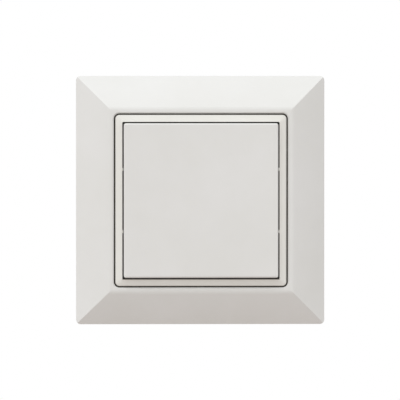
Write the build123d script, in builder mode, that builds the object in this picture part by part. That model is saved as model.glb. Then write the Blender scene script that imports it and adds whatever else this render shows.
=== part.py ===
from build123d import *
import os
from math import cos, radians, sin

# Wireless wall switch with one tilting rocker, a sloping square frame and a self-powered radio module.
# Millimetres. X is to the right, Z is up, and the front faces -Y. The wall is the plane Y = 0, and
# a height is a distance from the wall towards the room. A distance from the centre is half a width.

# Tilt of the rocker to each side, in degrees
rocker_tilt = 4.0

# Front faces
rocker_width = 49.54
rocker_corner = 0.7
rocker_edge = 0.55
rocker_cap = 1.8
rocker_wall = 1.1
rocker_skirt = 3.0
rocker_gap = 0.46
ring_rim = 2.24
ring_corner = 1.3
ring_inner_corner = 0.4
ring_edge = 0.25
ring_wall = 0.9
ring_gap = 0.46
frame_width = 80.0
frame_corner = 1.5
frame_wall = 2.0
frame_edge = 0.5
frame_bulge = 0.3
lip_width = 1.5
lip_edge = 0.4
lip_blend = 2.4

# Steps between the fronts
rocker_proud = 1.8
ring_proud = 0.7
ring_slope = 0.7
ring_depth = 3.0

# Wall side
pad_width = 46.0
pad_corner = 2.0
pad_thick = 0.8
plate_thick = 2.0
plate_gap = 2.5
plate_corner = 3.0
plate_rim = 1.2
screw_spacing = 60.0
screw_hole_radius = 1.7
screw_slot_length = 7.4

# Radio module
module_corner = 1.5
module_floor = 1.0
module_wall = 1.2
module_room = 5.7
cover_thick = 1.0
cover_margin = 0.7
pin_radius = 1.1
pin_length = 2.1
pin_drop = 0.2

# Energy bow, the saddle between the module and the rocker
bow_gap = 0.5
bow_arm = 1.8
bow_bar = 2.0
bow_thick = 1.8
clip_thick = 0.8
clip_room = 0.47

# Clearances
seat_gap = 0.15
running_gap = 0.05
snap_gap = 0.1
press_gap = 0.02

# Extra length of cutting shapes, so that no cut ends on a face
cut_spare = 1.0

# Heights worked out from the wall towards the room
plate_low = pad_thick
plate_high = plate_low + plate_thick
floor_high = plate_high + module_floor
cover_low = floor_high + module_room
cover_high = cover_low + cover_thick
pivot_height = cover_low - pin_drop
tilt_sine = sin(radians(rocker_tilt))
rocker_half = rocker_width / 2
rocker_inner = rocker_half - rocker_wall
clip_inner = rocker_inner - clip_room - clip_thick
module_width = 2 * (clip_inner - snap_gap - bow_arm - bow_gap)
module_half = module_width / 2
rocker_low = cover_high + module_half * tilt_sine + cover_margin
rocker_high = rocker_low + rocker_cap
ring_high = rocker_high - rocker_proud
ring_low = ring_high - ring_depth
lip_high = ring_high - ring_proud

# Distances from the centre worked out from the rocker outwards
ring_inner = rocker_half + rocker_gap
ring_outer = ring_inner + ring_rim
opening_half = ring_outer + ring_gap
lip_outer = opening_half + lip_width
frame_half = frame_width / 2
plate_half = frame_half - frame_wall - plate_gap


def layer(height):
    """Plane parallel to the wall, with X to the right and Z up."""
    return Plane.XZ.offset(height)


def side_view(x=0.0):
    """Plane across the switch, drawn as (height, Z)."""
    return Plane(origin=(x, 0, 0), x_dir=(0, -1, 0), z_dir=(-1, 0, 0))


def outward_view(turn, along=0.0):
    """Plane drawn as (distance from the centre, height), turned about the centre of the wall."""
    outward = Vector(cos(radians(turn)), 0, sin(radians(turn)))
    across = Vector(outward.Z, 0, -outward.X)
    return Plane(origin=across * along, x_dir=outward, z_dir=across)


def square_block(low, high, half, corner=0.0, mode=Mode.ADD):
    """Square block about the centre, between two heights."""
    with BuildSketch(layer(low)) as outline:
        if corner > 0:
            RectangleRounded(2 * half, 2 * half, corner)
        else:
            Rectangle(2 * half, 2 * half)
    extrude(outline.sketch, amount=high - low, mode=mode)


def square_slope(low, low_half, low_corner, high, high_half, high_corner):
    """Square block whose four sides slope from one outline to the other."""
    with BuildSketch(layer(low)) as bottom:
        RectangleRounded(2 * low_half, 2 * low_half, low_corner)
    with BuildSketch(layer(high)) as top:
        RectangleRounded(2 * high_half, 2 * high_half, high_corner)
    loft([bottom.sketch, top.sketch], ruled=True)


def mitred_square(section, half, corner, low, high):
    """Four equal sides joined at mitred corners, from one section drawn as (distance, height)."""
    reach = half + cut_spare
    with BuildPart() as side:
        extrude(section, amount=reach, both=True)
        with BuildSketch(layer(low)) as wedge:
            with BuildLine():
                Polyline((0, 0), (reach, reach), (reach, -reach), close=True)
            make_face()
        extrude(wedge.sketch, amount=high - low, mode=Mode.INTERSECT)
    with BuildPart() as square:
        for turn in (0, 90, 180, 270):
            add(side.part.rotate(Axis.Y, turn))
        with BuildSketch(layer(low)) as outline:
            RectangleRounded(2 * half, 2 * half, corner)
        extrude(outline.sketch, amount=high - low, mode=Mode.INTERSECT)
    return square.part


def nearest(section, place):
    """Corner of a section that lies nearest to a place."""
    return section.vertices().sort_by_distance(place)[0]


def block(x_low, x_high, z_low, z_high, low, high, mode=Mode.ADD):
    """Upright block given by its limits along X and Z and its two heights."""
    with BuildSketch(layer(low)) as outline:
        with Locations(((x_low + x_high) / 2, (z_low + z_high) / 2)):
            Rectangle(x_high - x_low, z_high - z_low)
    extrude(outline.sketch, amount=high - low, mode=mode)


def profile(plane, points, width, mode=Mode.ADD):
    """Closed outline of straight lines, extruded equally to both sides of its plane."""
    with BuildSketch(plane) as outline:
        with BuildLine():
            Polyline(*points, close=True)
        make_face()
    extrude(outline.sketch, amount=width / 2, both=True, mode=mode)


def rod_along_x(x_low, x_high, z, height, radius, mode=Mode.ADD):
    """Round rod parallel to the tilt axis."""
    with BuildSketch(Plane.YZ.offset(x_low)) as outline:
        with Locations((-height, z)):
            Circle(radius)
    extrude(outline.sketch, amount=x_high - x_low, mode=mode)


def edges_at(part, height, half):
    """Edges that lie at a height, no further from the centre than half a square."""
    reach = half + 0.01
    level = part.edges().filter_by_position(Axis.Y, -height - 0.01, -height + 0.01)
    level = level.filter_by_position(Axis.X, -reach, reach)
    return level.filter_by_position(Axis.Z, -reach, reach)


def name_part(builder, label):
    """Labels a finished piece and writes it to its own file."""
    builder.part.label = label
    export_step(builder.part, f"parts/{label}.step")


os.makedirs("parts", exist_ok=True)

# Adhesive pad
with BuildPart() as adhesive_pad:
    square_block(0, pad_thick, pad_width / 2, pad_corner)
name_part(adhesive_pad, "adhesive_pad")

# Places of the snap legs that hold the two frames, shared by the plate and the ring
leg_turns = (0, 180)
leg_offsets = (-16.0, 16.0)
leg_width = 7.0
hook_rise = 2.2
hook_reach = 0.9
hook_gap = 0.2
hook_thick = 1.0
hook_slope = 0.4
post_thick = 1.4
post_nose = 0.8
post_nose_thick = 0.2
post_tip = 1.2
post_margin = 1.0
hook_high = plate_high + hook_rise
leg_outer = ring_inner + ring_wall
post_inner = leg_outer + hook_reach + hook_gap
post_width = leg_width + post_margin

# Places of the latches that hold the module, shared by the plate and the module tray
latch_offsets = (-9.0, 9.0)
latch_width = 3.6
latch_side_gap = 0.3
latch_thick = 1.1
latch_nose = 0.55
latch_nose_thick = 0.3
latch_lead = 0.2
latch_rise = 2.1
latch_tip = 1.1
latch_nose_high = plate_high + latch_rise
latch_top = latch_nose_high + latch_tip
nest_half = module_half + seat_gap
nest_wall = 1.2
nest_high = 1.6
nest_corner_length = 6.5

# Mounting plate
with BuildPart() as mounting_plate:
    square_block(plate_low, plate_high, plate_half, plate_corner)
    square_block(plate_high, plate_high + plate_rim, plate_half, plate_corner)
    square_block(plate_high, plate_high + plate_rim, plate_half - plate_rim, plate_corner - plate_rim,
                 mode=Mode.SUBTRACT)
    # Low corner walls that the module sits between
    with BuildSketch(layer(plate_high)) as nest:
        Rectangle(2 * (nest_half + nest_wall), 2 * (nest_half + nest_wall))
        Rectangle(2 * nest_half, 2 * nest_half, mode=Mode.SUBTRACT)
        open_length = 2 * (nest_half - nest_corner_length)
        Rectangle(open_length, 3 * nest_half, mode=Mode.SUBTRACT)
        Rectangle(3 * nest_half, open_length, mode=Mode.SUBTRACT)
    extrude(nest.sketch, amount=nest_high)
    # Latches for the module, and posts with a nose for the snap legs of the ring
    for turn in leg_turns:
        for offset in latch_offsets:
            profile(outward_view(turn, offset), [
                (nest_half, plate_high),
                (nest_half + latch_thick, plate_high),
                (nest_half + latch_thick, latch_top),
                (nest_half + latch_lead, latch_top),
                (nest_half - latch_nose, latch_nose_high + latch_nose_thick),
                (nest_half - latch_nose, latch_nose_high),
                (nest_half, latch_nose_high),
            ], latch_width)
        for offset in leg_offsets:
            profile(outward_view(turn, offset), [
                (post_inner, plate_high),
                (post_inner + post_thick, plate_high),
                (post_inner + post_thick, hook_high + post_tip),
                (post_inner, hook_high + post_tip),
                (post_inner - post_nose, hook_high + hook_gap + post_nose_thick),
                (post_inner - post_nose, hook_high + hook_gap),
                (post_inner, hook_high + hook_gap),
            ], post_width)
    # Two slots to level the plate, and two round holes
    with BuildSketch(layer(plate_low)) as slots:
        with Locations((screw_spacing / 2, 0), (-screw_spacing / 2, 0)):
            SlotOverall(screw_slot_length, 2 * screw_hole_radius)
    extrude(slots.sketch, amount=plate_thick, mode=Mode.SUBTRACT)
    with BuildSketch(layer(plate_low)) as holes:
        with Locations((0, screw_spacing / 2), (0, -screw_spacing / 2)):
            Circle(screw_hole_radius)
    extrude(holes.sketch, amount=plate_thick, mode=Mode.SUBTRACT)
name_part(mounting_plate, "mounting_plate")

# Design frame
frame_low = 0.3
frame_side_high = 4.9
ledge_thick = 1.0
ledge_gap = 0.3
ledge_high = ring_low
ledge_low = ledge_high - ledge_thick
ledge_inner = leg_outer + ledge_gap
frame_inner = ledge_inner - cut_spare
bevel_rise = (lip_high - frame_side_high) / (frame_half - lip_outer)
wall_drop = frame_wall * (1 + bevel_rise ** 2) ** 0.5
hollow_half = frame_half - frame_wall
hollow_side_high = frame_side_high + frame_wall * bevel_rise - wall_drop
hollow_top_half = frame_half - (ledge_low + wall_drop - frame_side_high) / bevel_rise
rib_thick = 1.0
rib_offsets = (-24.0, -12.0, 12.0, 24.0)
rib_foot = 1.0
rib_gap = 0.3
rib_inner = opening_half + lip_width / 2
rib_outer = hollow_half - rib_foot
rib_low = plate_high + plate_rim + rib_gap
rib_side_high = hollow_side_high + rib_foot * bevel_rise + wall_drop / 2

with BuildPart() as design_frame:
    with BuildSketch(outward_view(0)) as frame_section:
        with BuildLine():
            Line((frame_half, frame_low), (frame_half, frame_side_high))
            SagittaArc((frame_half, frame_side_high), (lip_outer, lip_high), -frame_bulge)
            Polyline(
                (lip_outer, lip_high),
                (frame_inner, lip_high),
                (frame_inner, ledge_low),
                (hollow_top_half, ledge_low),
                (hollow_half, hollow_side_high),
                (hollow_half, frame_low),
                (frame_half, frame_low),
            )
        make_face()
        fillet(nearest(frame_section, (frame_half, frame_side_high)), frame_edge)
        fillet(nearest(frame_section, (lip_outer, lip_high)), lip_blend)
    add(mitred_square(frame_section.sketch, frame_half, frame_corner, frame_low, lip_high + cut_spare))
    # Opening, with the ledge that the ring sits on
    square_block(ledge_low, ledge_high, ledge_inner, ring_corner, mode=Mode.SUBTRACT)
    square_block(ledge_high, lip_high, opening_half, ring_corner + ring_gap, mode=Mode.SUBTRACT)
    chamfer(edges_at(design_frame, lip_high, opening_half), lip_edge)
    # Stiffening ribs behind the slope
    for turn in (0, 90, 180, 270):
        for offset in rib_offsets:
            profile(outward_view(turn, offset), [
                (rib_inner, rib_low),
                (rib_outer, rib_low),
                (rib_outer, rib_side_high),
                (hollow_top_half, ledge_low + wall_drop / 2),
                (rib_inner, ledge_low + ledge_thick / 2),
            ], rib_thick)
name_part(design_frame, "design_frame")

# Intermediate ring
ring_side_high = ring_high - ring_slope
edge_high = ring_side_high + ring_edge * ring_slope / ring_rim
skirt_depth = 3.0
skirt_low = ring_low - skirt_depth
guide_width = 0.8
guide_reach = 0.22
guide_root = 0.1
guide_top_drop = 0.4
guide_lead = 0.3
guide_offsets = (-10.0, 10.0)
leg_start = skirt_low + 0.5

with BuildPart() as intermediate_frame:
    square_block(ring_low, ring_side_high - ring_edge, ring_outer, ring_corner)
    square_slope(ring_side_high - ring_edge, ring_outer, ring_corner,
                 edge_high, ring_outer - ring_edge, ring_corner - ring_edge)
    square_slope(edge_high, ring_outer - ring_edge, ring_corner - ring_edge,
                 ring_high, ring_inner, ring_inner_corner)
    square_block(skirt_low, ring_low, leg_outer, ring_corner)
    square_block(skirt_low, ring_high, ring_inner, ring_inner_corner, mode=Mode.SUBTRACT)
    for turn in leg_turns:
        # Small guides that keep the rocker in the middle
        for offset in guide_offsets:
            profile(outward_view(turn, offset), [
                (ring_inner - guide_reach, skirt_low + guide_lead),
                (ring_inner + guide_root, skirt_low),
                (ring_inner + guide_root, ring_high - guide_top_drop),
                (ring_inner - guide_reach, ring_high - guide_top_drop - guide_lead),
            ], guide_width)
        # Snap legs that hook under the noses of the posts
        for offset in leg_offsets:
            profile(outward_view(turn, offset), [
                (ring_inner, leg_start),
                (leg_outer, leg_start),
                (leg_outer, hook_high),
                (leg_outer + hook_reach, hook_high),
                (leg_outer + hook_reach, hook_high - hook_thick / 2),
                (leg_outer, hook_high - hook_thick - hook_slope),
                (ring_inner, hook_high - hook_thick - hook_slope),
            ], leg_width)
name_part(intermediate_frame, "intermediate_frame")

# Energy bow: the saddle under the rocker
hub_wall = 1.0
bow_end_gap = 0.1
bow_inner_x = module_half + bow_gap
bow_outer_x = bow_inner_x + bow_arm
bow_inner_z = bow_inner_x + bow_end_gap
bow_outer_z = bow_inner_z + bow_bar
bow_low = pivot_height - bow_thick / 2
bow_high = pivot_height + bow_thick / 2
hub_radius = pin_radius + running_gap + hub_wall

# See-saw of the generator, on an axis parallel to the rocker's
gen_height = (floor_high + cover_low) / 2
swing_z = 4.0
drive_inset = 4.5
drive_z = module_half - drive_inset
drive_bead = 0.6
drive_gap = 0.08
prong_thick = 0.7
fork_half = drive_bead + drive_gap + prong_thick
fork_tip_z = drive_z - drive_bead
fork_length = 2.6
fork_root_z = drive_z + fork_length
slot_end_z = drive_z + fork_length / 2
drive_width = 5.2
drive_web = 1.6
swing_ratio = drive_z / (drive_z - swing_z)
swing_sine = sin(radians(rocker_tilt * swing_ratio))

with BuildPart() as energy_bow:
    with BuildSketch(layer(bow_low)) as loop:
        RectangleRounded(2 * bow_outer_x, 2 * bow_outer_z, bow_arm)
        Rectangle(2 * bow_inner_x, 2 * bow_inner_z, mode=Mode.SUBTRACT)
    extrude(loop.sketch, amount=bow_thick)
    # Hubs that run on the pins of the module
    for x_low in (bow_inner_x, -bow_outer_x):
        rod_along_x(x_low, x_low + bow_arm, 0, pivot_height, hub_radius)
        rod_along_x(x_low, x_low + bow_arm, 0, pivot_height, pin_radius + running_gap, mode=Mode.SUBTRACT)
    # Tongue that steps down into the module and ends in a fork
    web_middle = bow_inner_z + bow_bar / 2
    profile(side_view(), [
        (pivot_height, web_middle - drive_web / 2),
        (pivot_height, web_middle + drive_web / 2),
        (gen_height - drive_web / 2, web_middle + drive_web / 2),
        (gen_height - drive_web / 2, fork_root_z),
        (gen_height + drive_web / 2, fork_root_z),
        (gen_height + drive_web / 2, web_middle - drive_web / 2),
    ], drive_width)
    block(-drive_width / 2, drive_width / 2, fork_tip_z, fork_root_z,
          gen_height - fork_half, gen_height + fork_half)
    slot_half = drive_bead + drive_gap
    block(-drive_width, drive_width, fork_tip_z - cut_spare, slot_end_z,
          gen_height - slot_half, gen_height + slot_half, mode=Mode.SUBTRACT)
name_part(energy_bow, "energy_bow")

# Rocker
rail_width = 1.4
rail_length = module_half - 2.0
rail_start = hub_radius + 1.0
rail_x = (bow_inner_x + bow_outer_x) / 2
clip_offsets = (-0.6 * module_half, 0.6 * module_half)
clip_width = 4.0
clip_nose = 0.4
clip_nose_thick = 0.25
clip_tip = 0.9
clip_lead = 0.3
finger_inset = 5.5
finger_place = module_half - finger_inset
finger_radius = 1.3
finger_low = 8.7
rib_height = 0.6
rib_width = 0.8
rib_reach = 0.6 * module_half
rib_places = (-0.4 * module_half, 0.0, 0.4 * module_half)
cap_half = rocker_inner - cut_spare
skirt_end = rocker_low - rocker_skirt

with BuildPart() as rocker:
    with BuildSketch(outward_view(0)) as rocker_section:
        with BuildLine():
            Polyline(
                (rocker_inner, skirt_end),
                (rocker_half, skirt_end),
                (rocker_half, rocker_high),
                (cap_half, rocker_high),
                (cap_half, rocker_low),
                (rocker_inner, rocker_low),
                close=True,
            )
        make_face()
        fillet(nearest(rocker_section, (rocker_half, rocker_high)), rocker_edge)
    add(mitred_square(rocker_section.sketch, rocker_half, rocker_corner,
                      skirt_end, rocker_high + cut_spare))
    square_block(rocker_low, rocker_high, cap_half)
    # Rails that sit on the bow, each side of the hub
    for side in (-1, 1):
        for end in (-1, 1):
            middle = end * (rail_length + rail_start) / 2
            half = (rail_length - rail_start) / 2
            block(side * rail_x - rail_width / 2, side * rail_x + rail_width / 2,
                  middle - half, middle + half, bow_high, rocker_low)
    # Clips that snap under the arms of the bow
    for turn in (0, 180):
        for offset in clip_offsets:
            profile(outward_view(turn, offset), [
                (clip_inner, rocker_low),
                (clip_inner + clip_thick, rocker_low),
                (clip_inner + clip_thick, bow_low - clip_tip),
                (clip_inner + clip_lead, bow_low - clip_tip),
                (clip_inner - clip_nose - snap_gap, bow_low - snap_gap - clip_nose_thick),
                (clip_inner - clip_nose - snap_gap, bow_low - snap_gap),
                (clip_inner, bow_low - snap_gap),
            ], clip_width)
    # Fingers that press the contact nipples
    with BuildSketch(layer(rocker_low)) as roots:
        with GridLocations(2 * finger_place, 2 * finger_place, 2, 2):
            Circle(finger_radius)
    extrude(roots.sketch, amount=finger_low - rocker_low)
    # Shallow ribs under the cap
    for place in rib_places:
        block(place - rib_width / 2, place + rib_width / 2, -rib_reach, rib_reach,
              rocker_low - rib_height, rocker_low)
        block(-rib_reach, rib_reach, place - rib_width / 2, place + rib_width / 2,
              rocker_low - rib_height, rocker_low)
name_part(rocker, "rocker")

# Generator: magnet between two pole plates, see-sawing about the tongue of a sheet core
core_thick = 1.0
air_gap = 0.12
pole_thick = 0.7
pole_reach = 4.6
magnet_start = 1.9
magnet_length = 4.2
magnet_width = 9.0
magnet_edge = 0.3
magnet_thick = core_thick + 2 * (pole_reach * swing_sine + air_gap)
stack_half = magnet_thick / 2 + pole_thick
pole_low_z = swing_z - pole_reach
magnet_low_z = swing_z - magnet_start
magnet_end_z = magnet_low_z + magnet_length

with BuildPart() as magnet:
    block(-magnet_width / 2, magnet_width / 2, magnet_low_z, magnet_end_z,
          gen_height - magnet_thick / 2, gen_height + magnet_thick / 2)
    chamfer(magnet.edges().filter_by(Axis.Y), magnet_edge)
name_part(magnet, "magnet")

with BuildPart() as pole_plate_front:
    block(-magnet_width / 2, magnet_width / 2, pole_low_z, magnet_end_z,
          gen_height + magnet_thick / 2, gen_height + stack_half)
    chamfer(pole_plate_front.edges().filter_by(Axis.Y), magnet_edge)
name_part(pole_plate_front, "pole_plate_front")

with BuildPart() as pole_plate_rear:
    block(-magnet_width / 2, magnet_width / 2, pole_low_z, magnet_end_z,
          gen_height - stack_half, gen_height - magnet_thick / 2)
    chamfer(pole_plate_rear.edges().filter_by(Axis.Y), magnet_edge)
name_part(pole_plate_rear, "pole_plate_rear")

# Carrier of the magnet, with stub pins and the arm that the bow's fork holds
cheek = 1.6
carrier_half = magnet_width / 2 + press_gap + cheek
carrier_setback = 0.4
carrier_back = 1.4
carrier_lip = 0.35
carrier_low_z = pole_low_z + carrier_setback
carrier_back_z = magnet_end_z + press_gap
carrier_end_z = carrier_back_z + carrier_back
lip_overhang = 0.5
carrier_rim = stack_half + carrier_lip
stub_radius = 0.8
stub_length = 2.1
stub_end = carrier_half + stub_length
arm_half_width = 2.0
arm_thick = 1.0
arm_rib = 1.3
arm_rib_end_z = fork_tip_z - 1.2
spring_x = 4.4
spring_width = 1.4
spring_thick = 0.2
spring_gap = 0.1
spring_wall = 0.3

with BuildPart() as magnet_carrier:
    block(-carrier_half, carrier_half, carrier_low_z, carrier_end_z,
          gen_height - carrier_rim, gen_height + carrier_rim)
    fillet(magnet_carrier.edges().filter_by(Axis.X).sort_by(Axis.Z)[-2:], carrier_back / 2)
    # Pocket for the magnet and its plates, open in front, with a window through the lips
    pocket_half = magnet_width / 2 + press_gap
    block(-pocket_half, pocket_half, carrier_low_z - cut_spare, carrier_back_z,
          gen_height - stack_half - press_gap, gen_height + stack_half + press_gap, mode=Mode.SUBTRACT)
    block(-pocket_half + lip_overhang, pocket_half - lip_overhang, carrier_low_z - cut_spare,
          carrier_back_z - lip_overhang,
          gen_height - 2 * carrier_rim, gen_height + 2 * carrier_rim, mode=Mode.SUBTRACT)
    rod_along_x(-stub_end, -carrier_half, swing_z, gen_height, stub_radius)
    rod_along_x(carrier_half, stub_end, swing_z, gen_height, stub_radius)
    # Arm, rib and the bead in the fork
    block(-arm_half_width, arm_half_width, carrier_end_z, drive_z,
          gen_height - arm_thick / 2, gen_height + arm_thick / 2)
    profile(side_view(), [
        (gen_height - arm_rib, carrier_end_z),
        (gen_height + arm_rib, carrier_end_z),
        (gen_height + arm_thick / 2, arm_rib_end_z),
        (gen_height - arm_thick / 2, arm_rib_end_z),
    ], arm_thick)
    rod_along_x(-arm_half_width, arm_half_width, drive_z, gen_height, drive_bead)
    # Slots for the free ends of the leaf springs
    for side in (-1, 1):
        slot_middle = side * spring_x
        block(slot_middle - spring_width / 2 - spring_gap, slot_middle + spring_width / 2 + spring_gap,
              carrier_back_z + spring_wall, carrier_end_z + cut_spare,
              gen_height - spring_thick / 2 - spring_gap, gen_height + spring_thick / 2 + spring_gap,
              mode=Mode.SUBTRACT)
name_part(magnet_carrier, "magnet_carrier")

# Iron core: one stamped sheet with a tongue through the coil and a leg on each side
tongue_half = 2.2
tongue_gap = 0.4
tongue_end_z = magnet_low_z - tongue_gap
leg_inner_x = 7.2
leg_outer_x = 9.0
core_inset = 2.4
core_base = 2.2
core_corner = 0.8
core_base_low_z = core_inset - module_half
core_base_high_z = core_base_low_z + core_base
core_leg_end_z = -1.0
core_low = gen_height - core_thick / 2
core_high = gen_height + core_thick / 2

with BuildPart() as iron_core:
    block(-leg_outer_x, leg_outer_x, core_base_low_z, core_base_high_z, core_low, core_high)
    block(-tongue_half, tongue_half, core_base_high_z, tongue_end_z, core_low, core_high)
    for side in (-1, 1):
        leg_middle = side * (leg_inner_x + leg_outer_x) / 2
        leg_half = (leg_outer_x - leg_inner_x) / 2
        block(leg_middle - leg_half, leg_middle + leg_half, core_base_high_z, core_leg_end_z,
              core_low, core_high)
    outer_corners = iron_core.edges().filter_by(Axis.Y).group_by(Axis.Z)[0]
    fillet(outer_corners, core_corner)
name_part(iron_core, "iron_core")

# Coil bobbin with its foot, the winding and the two terminals
board_gap = 0.5
board_thick = 0.8
board_low = floor_high + board_gap
board_high = board_low + board_thick
tube_wall = 0.6
flange_thick = 0.7
flange_half_x = 6.4
flange_gap = 0.2
flange_corner = 0.8
flange_half_h = (cover_low - floor_high) / 2 - flange_gap
bobbin_gap = 0.3
bobbin_end_gap = 1.8
bobbin_low_z = core_base_high_z + bobbin_gap
bobbin_high_z = pole_low_z - bobbin_end_gap
tube_half_x = tongue_half + press_gap + tube_wall
tube_half_h = core_thick / 2 + press_gap + tube_wall
terminal_x = 4.5
terminal_z = core_base_low_z + 1.0
terminal_half = 0.25
terminal_hole_radius = 0.45
foot_margin = 0.7
foot_high = core_low - press_gap

with BuildPart() as coil_bobbin:
    block(-tube_half_x, tube_half_x, bobbin_low_z, bobbin_high_z,
          gen_height - tube_half_h, gen_height + tube_half_h)
    for low_z in (bobbin_low_z, bobbin_high_z - flange_thick):
        with BuildSketch(Plane.XY.offset(low_z)) as flange:
            with Locations((0, -gen_height)):
                RectangleRounded(2 * flange_half_x, 2 * flange_half_h, flange_corner)
        extrude(flange.sketch, amount=flange_thick)
    # Foot under the core that holds the terminals
    block(-flange_half_x, flange_half_x, terminal_z - foot_margin, bobbin_low_z, board_high, foot_high)
    block(-tongue_half - press_gap, tongue_half + press_gap,
          bobbin_low_z - cut_spare, bobbin_high_z + cut_spare,
          core_low - press_gap, core_high + press_gap, mode=Mode.SUBTRACT)
    with BuildSketch(layer(board_high)) as terminal_holes:
        with Locations((-terminal_x, terminal_z), (terminal_x, terminal_z)):
            Rectangle(2 * (terminal_half + press_gap), 2 * (terminal_half + press_gap))
    extrude(terminal_holes.sketch, amount=foot_high - board_high, mode=Mode.SUBTRACT)
name_part(coil_bobbin, "coil_bobbin")

winding_margin = 0.35
winding_corner = 1.6
with BuildPart() as coil_winding:
    with BuildSketch(Plane.XY.offset(bobbin_low_z + flange_thick + press_gap)) as turns:
        with Locations((0, -gen_height)):
            RectangleRounded(2 * (flange_half_x - winding_margin), 2 * (flange_half_h - winding_margin),
                             winding_corner)
            Rectangle(2 * (tube_half_x + press_gap), 2 * (tube_half_h + press_gap), mode=Mode.SUBTRACT)
    extrude(turns.sketch, amount=bobbin_high_z - bobbin_low_z - 2 * (flange_thick + press_gap))
name_part(coil_winding, "coil_winding")

terminal_tail = 0.35
terminal_low = board_low - terminal_tail
with BuildPart() as coil_terminals:
    with BuildSketch(layer(terminal_low)) as terminal_pins:
        with Locations((-terminal_x, terminal_z), (terminal_x, terminal_z)):
            Rectangle(2 * terminal_half, 2 * terminal_half)
    extrude(terminal_pins.sketch, amount=foot_high - terminal_low)
name_part(coil_terminals, "coil_terminals")

# Leaf springs that centre the see-saw
spring_inset = 3.8
spring_low_z = carrier_back_z + spring_wall + spring_gap
spring_high_z = module_half - spring_inset
for label, side in (("return_spring_left", -1), ("return_spring_right", 1)):
    with BuildPart() as leaf:
        block(side * spring_x - spring_width / 2, side * spring_x + spring_width / 2,
              spring_low_z, spring_high_z,
              gen_height - spring_thick / 2, gen_height + spring_thick / 2)
    name_part(leaf, label)

# Places shared by the tray, the board and the cover
tray_inner = module_half - module_wall
ear_half = 3.4
ear_rise = 0.1
ear_high = cover_high + ear_rise
stub_post_gap = 0.4
stub_post_thick = 1.3
stub_post_half = 1.7
stub_post_rise = 0.1
stub_post_low_x = carrier_half + stub_post_gap
stub_post_high_x = stub_post_low_x + stub_post_thick
stub_post_high = gen_height + stub_radius + stub_post_rise
spring_post_wall = 0.4
spring_post_end = 0.5
spring_post_rise = 0.8
spring_hold = 1.8
spring_post_low_z = spring_high_z - spring_hold
window_gap = 0.8
window_sill = 0.4
window_half = drive_width / 2 + window_gap
window_low = floor_high + window_sill
board_margin = 0.3
board_half = tray_inner - board_margin
board_cut_x = leg_outer_x + 1.0
board_cut_z = core_base_high_z - 0.5
board_corner = 0.6
peg_radius = 0.7
peg_gap = 0.05
peg_places = ((1.5 - board_half, 0.0), (board_half - 1.5, 0.0))
rest_half_x = 1.2
rest_half_z = 6.0
bar_half = 8.0
bar_thick = 0.7
snap_offsets = (-11.0, 11.0)
snap_width = 3.0
snap_reach = 0.35
snap_thick = 0.4
snap_drop = 0.35
snap_side_gap = 0.2
snap_high = cover_low - snap_drop
snap_low = snap_high - snap_thick
core_post_x = (leg_inner_x + leg_outer_x) / 2
core_post_rows = (core_leg_end_z - 7.5, core_base_high_z + 1.4)
core_post_half = 0.7
shoulder_half = 0.3

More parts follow.
